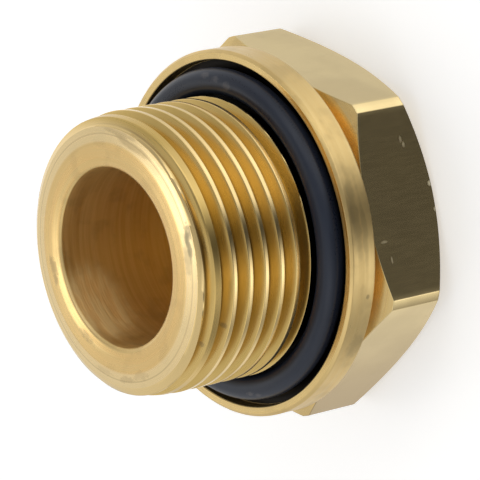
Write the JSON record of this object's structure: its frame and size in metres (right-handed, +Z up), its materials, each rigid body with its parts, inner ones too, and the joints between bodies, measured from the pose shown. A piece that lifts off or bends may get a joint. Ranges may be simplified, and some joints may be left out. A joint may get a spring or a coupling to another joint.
{
  "type": "threaded plug",
  "caption": "Turned brass screw plug with a hexagon head, a seating collar with a recessed O-ring, a parallel pipe thread and a blind bore.",
  "frame": {"origin": "middle of the head's flat face, which the plug stands on", "axes": "+Z up the plug's axis towards the thread's free end, +X through one corner of the hexagon"},
  "size_m": [0.0364, 0.0346, 0.0259],
  "materials": {
    "brass": "satin",
    "rubber": "satin"
  },
  "bodies": {
    "root": {"plug_body": "brass", "o_ring": "rubber"}
  },
  "joints": []
}
